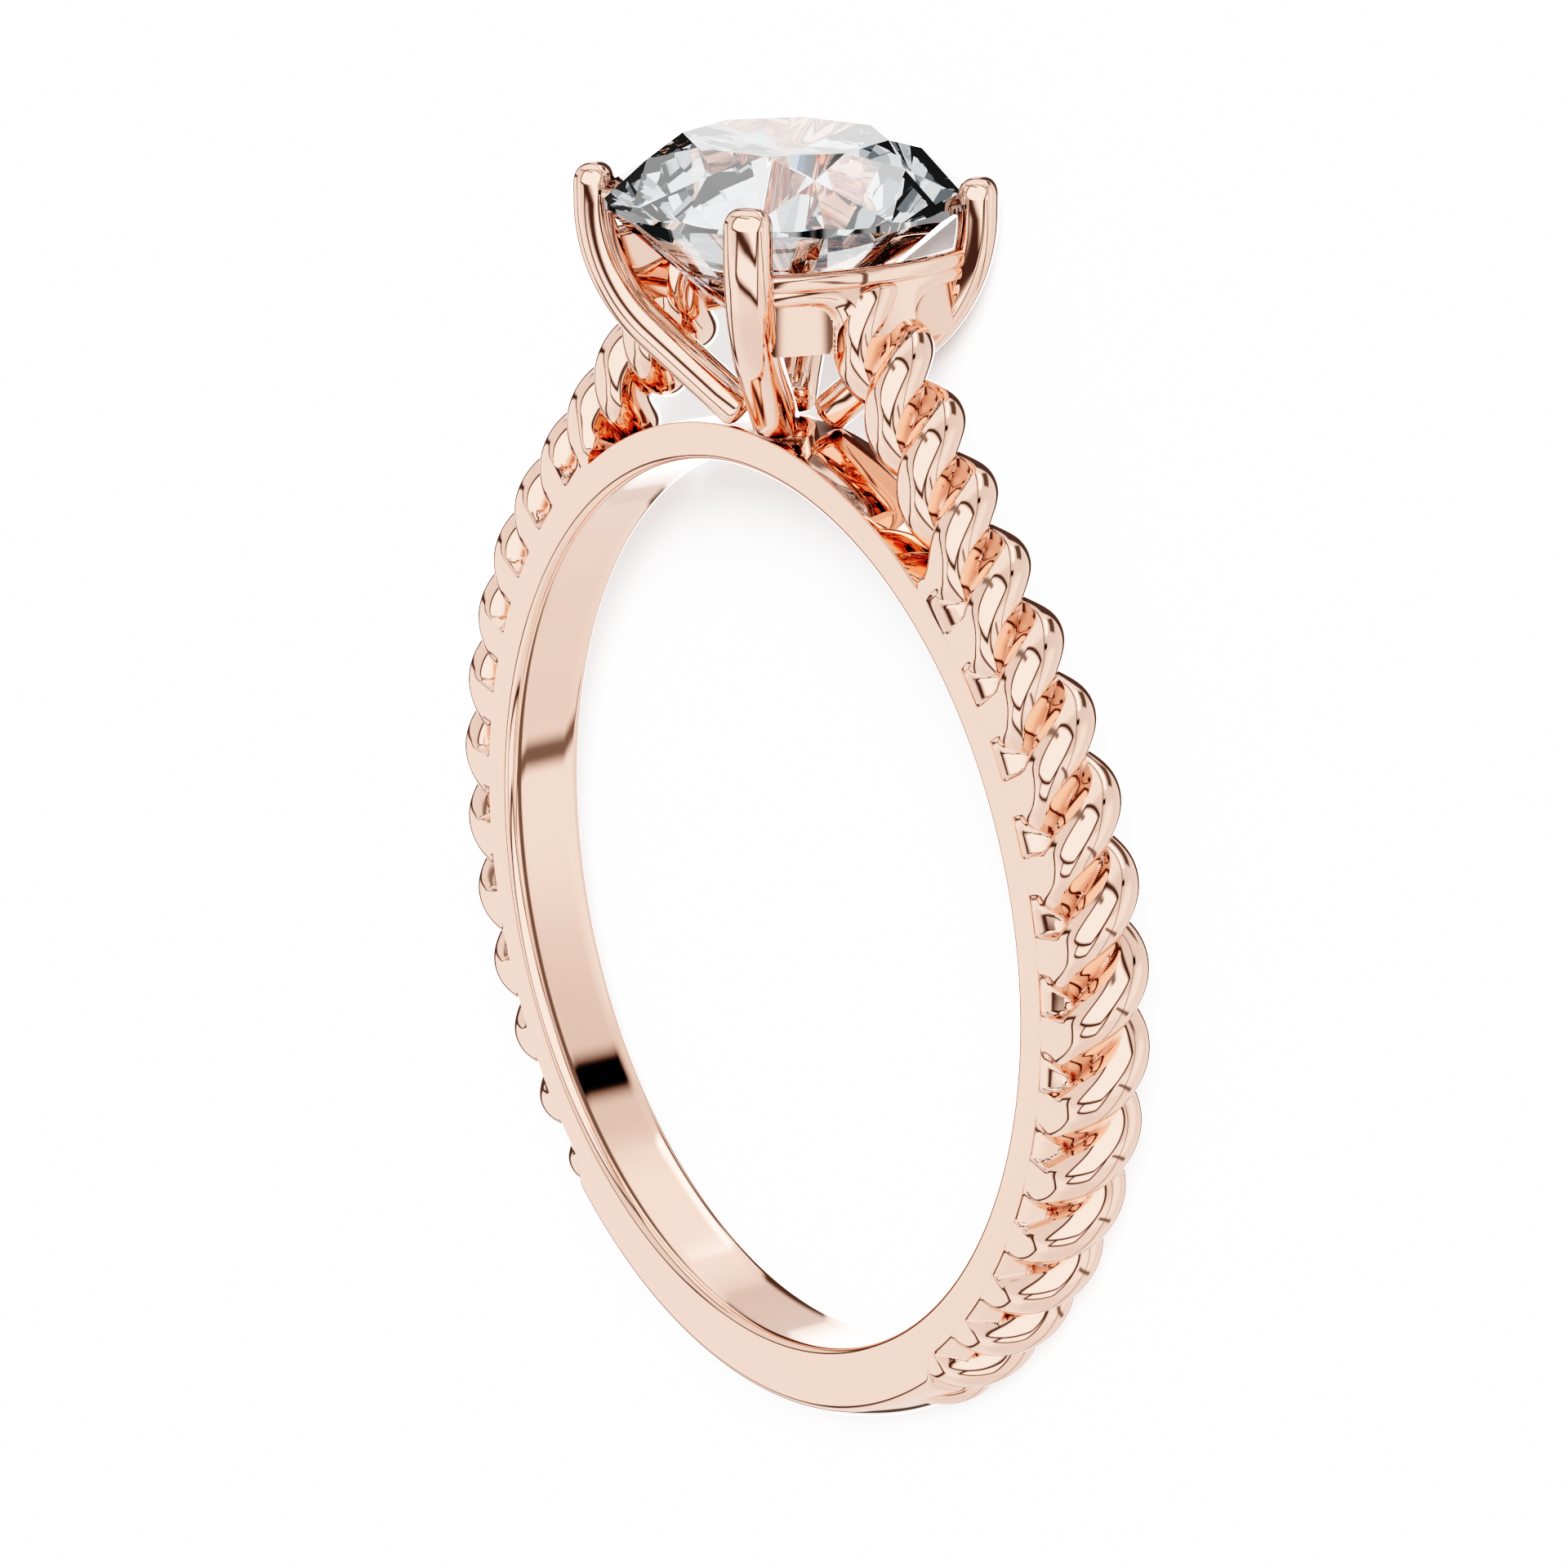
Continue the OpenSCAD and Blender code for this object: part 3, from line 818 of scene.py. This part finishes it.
def panel_layers(tree, sky, hole):
    """Mask and level of every panel, with its black frame behind it, which the hole doesn't show."""
    layers = []
    for azimuth, elevation, turn, wide, high, soft, frame_wide, level in STUDIO:
        across, along = off_panel(tree, sky, azimuth, elevation, turn)
        if frame_wide:
            outer = [(across, wide + frame_wide, soft), (along, high + frame_wide, soft)]
            layers.append((less_in(tree, inside(tree, outer), hole, 1.0), FRAME_LEVEL))
        layers.append((inside(tree, [(across, wide, soft), (along, high, soft)]), level))
    return layers


def disc_layer(tree, sky, azimuth, elevation, angle, soft, level):
    """Mask and level of a disc round a direction."""
    off_middle = off_direction(tree, sky, towards(azimuth, elevation))
    return inside(tree, [(off_middle, np.radians(angle), soft)]), level


def mirrored_light(tree, sky):
    """How bright each direction is for the metal: the base light, and each layer laid over it."""
    off_axis = off_direction(tree, sky, tuple(UPRIGHT_TO_LAID[:, 1].tolist()))
    hole = between(tree, off_axis, *HOLE_SLICE)
    layers = panel_layers(tree, sky, hole)
    layers.append((between(tree, off_axis, *TABLE_SLICE), TABLE_LEVEL))
    gap, gap_level = disc_layer(tree, sky, *GAP)
    layers.append((less_in(tree, gap, hole, HOLE_FILLS_GAP), gap_level))
    for disc in BACKDROP:
        layers.append(disc_layer(tree, sky, *disc))

    slant = node(tree, "ShaderNodeVectorMath", {0: sky, 1: FALL_OFF}, operation="DOT_PRODUCT")
    base = node(
        tree, "ShaderNodeMath", {0: slant.outputs["Value"], 1: BASE_LEVEL}, operation="ADD"
    )
    dimmed = {0: hole, 1: -HOLE_DIM, 2: base.outputs[0]}
    light = node(tree, "ShaderNodeMath", dimmed, operation="MULTIPLY_ADD").outputs[0]
    for mask, level in layers:
        over = node(tree, "ShaderNodeMix", {0: mask, 2: light, 3: level}, data_type="FLOAT")
        light = over.outputs[0]
    return light


def room_colours(tree, sky):
    """A room of lights and dark corners: panels round the stone, each of one shade."""
    panels = node(tree, "ShaderNodeTexVoronoi", {"Vector": sky, "Scale": ROOM_PANELS})
    chance = node(tree, "ShaderNodeSeparateColor", {"Color": panels.outputs["Color"]})
    shades = node(tree, "ShaderNodeValToRGB", {"Fac": chance.outputs["Red"]})
    ramp = shades.color_ramp
    ramp.interpolation = "CONSTANT"
    for i, (start, shade) in enumerate(ROOM_SHADES):
        stop = ramp.elements[i] if i < 2 else ramp.elements.new(start)
        stop.position = start
        stop.color = linear(shade)
    return shades.outputs["Color"]


def studio_world():
    """Softboxes and flags for what the metal mirrors, a room for the stone, plain white for the paper."""
    world = bpy.data.worlds.new("studio")
    world.use_nodes = True
    t = world.node_tree
    t.nodes.clear()
    sky = node(t, "ShaderNodeTexCoord").outputs["Generated"]
    ray = node(t, "ShaderNodeLightPath")
    white = linear("#ffffff")
    studio = node(t, "ShaderNodeBackground", {"Strength": mirrored_light(t, sky), "Color": white})
    room = node(t, "ShaderNodeBackground", {"Color": room_colours(t, sky), "Strength": 1.0})
    paper = node(t, "ShaderNodeBackground", {"Color": white, "Strength": PAPER_LIGHT})
    glossy, through = ray.outputs["Is Glossy Ray"], ray.outputs["Is Transmission Ray"]
    shown = node(t, "ShaderNodeMixShader", {0: through, 1: studio.outputs[0], 2: room.outputs[0]})
    either = node(t, "ShaderNodeMath", {0: glossy, 1: through}, operation="MAXIMUM")
    both = node(
        t, "ShaderNodeMixShader", {0: either.outputs[0], 1: paper.outputs[0], 2: shown.outputs[0]}
    )
    node(t, "ShaderNodeOutputWorld", {"Surface": both.outputs[0]})
    return world


bpy.context.scene.world = studio_world()


# Where the sun lamp stands, its strength and the angle of its disc in degrees
LAMP_TOWARDS, LAMP_STRENGTH, LAMP_ANGLE = (1.2, 0.75, 1.0), 8.0, 24.0


def shadow_lamp():
    """A large lamp behind the head, which lights the paper and gives the ring its soft shadow."""
    light = bpy.data.lights.new("shadow_lamp", "SUN")
    light.energy = LAMP_STRENGTH
    light.angle = np.radians(LAMP_ANGLE)
    lamp = bpy.data.objects.new("shadow_lamp", light)
    lamp.rotation_euler = Vector(LAMP_TOWARDS).to_track_quat("Z", "Y").to_euler()
    lamp.visible_glossy = False
    lamp.visible_transmission = False
    bpy.context.scene.collection.objects.link(lamp)


shadow_lamp()


# Camera

# The photograph's camera in the upright frame: where it stands in mm, its angles, and its lens
CAMERA_AT = np.array([82.48, -56.58, 33.88])
AZIMUTH, ELEVATION, ROLL = np.radians([55.55, 17.56, 0.10])
LENS, SENSOR = 131.777, 36.0


def photo_camera():
    """The camera looks against back, a direction on a sphere; right and up are turned by the roll."""
    right = np.array([np.cos(AZIMUTH), np.sin(AZIMUTH), 0.0])
    level_back = np.array([np.sin(AZIMUTH), -np.cos(AZIMUTH), 0.0])
    back = level_back * np.cos(ELEVATION) + [0.0, 0.0, np.sin(ELEVATION)]
    up = np.cross(back, right)
    right, up = (
        np.cos(ROLL) * right + np.sin(ROLL) * up,
        np.cos(ROLL) * up - np.sin(ROLL) * right,
    )
    data = bpy.data.cameras.new("camera")
    data.lens = LENS
    data.sensor_width = SENSOR
    data.clip_start = 0.001
    data.clip_end = 20.0
    camera = bpy.data.objects.new("camera", data)
    bpy.context.scene.collection.objects.link(camera)
    axes = np.stack([right, up, back]) @ UPRIGHT_TO_LAID.T
    place = np.eye(4)
    place[:3, :3] = axes.T
    place[:3, 3] = laid(CAMERA_AT)
    camera.matrix_world = Matrix(place.tolist())
    bpy.context.scene.camera = camera


photo_camera()


# Exposure

# How fast highlights roll off, how deep shadows are, and the light that prints white
FILM_GAIN, FILM_TOE, FILM_WHITE = 2.7, 0.05, 3.0


def film_exposure():
    """A photograph's tone curve: 1 - exp(-gain x), with x = light^3 / (light^2 + toe^2)."""
    view = bpy.context.scene.view_settings
    view.view_transform = "Standard"
    view.look = "None"
    view.use_curve_mapping = True
    curves = view.curve_mapping
    curves.white_level = (FILM_WHITE, FILM_WHITE, FILM_WHITE)
    tone = curves.curves[3]
    light = np.array([0.0, 0.02, 0.045, 0.08, 0.14, 0.22, 0.34, 0.5, 0.75, 1.1, 1.6, 2.2, FILM_WHITE])
    printed = 1 - np.exp(-FILM_GAIN * light**3 / (light**2 + FILM_TOE**2))
    tone.points[0].location = (0.0, 0.0)
    tone.points[1].location = (1.0, 1.0)
    for x, y in zip(light[1:-1] / FILM_WHITE, printed[1:-1] / printed[-1]):
        tone.points.new(float(x), float(y))
    curves.update()


film_exposure()
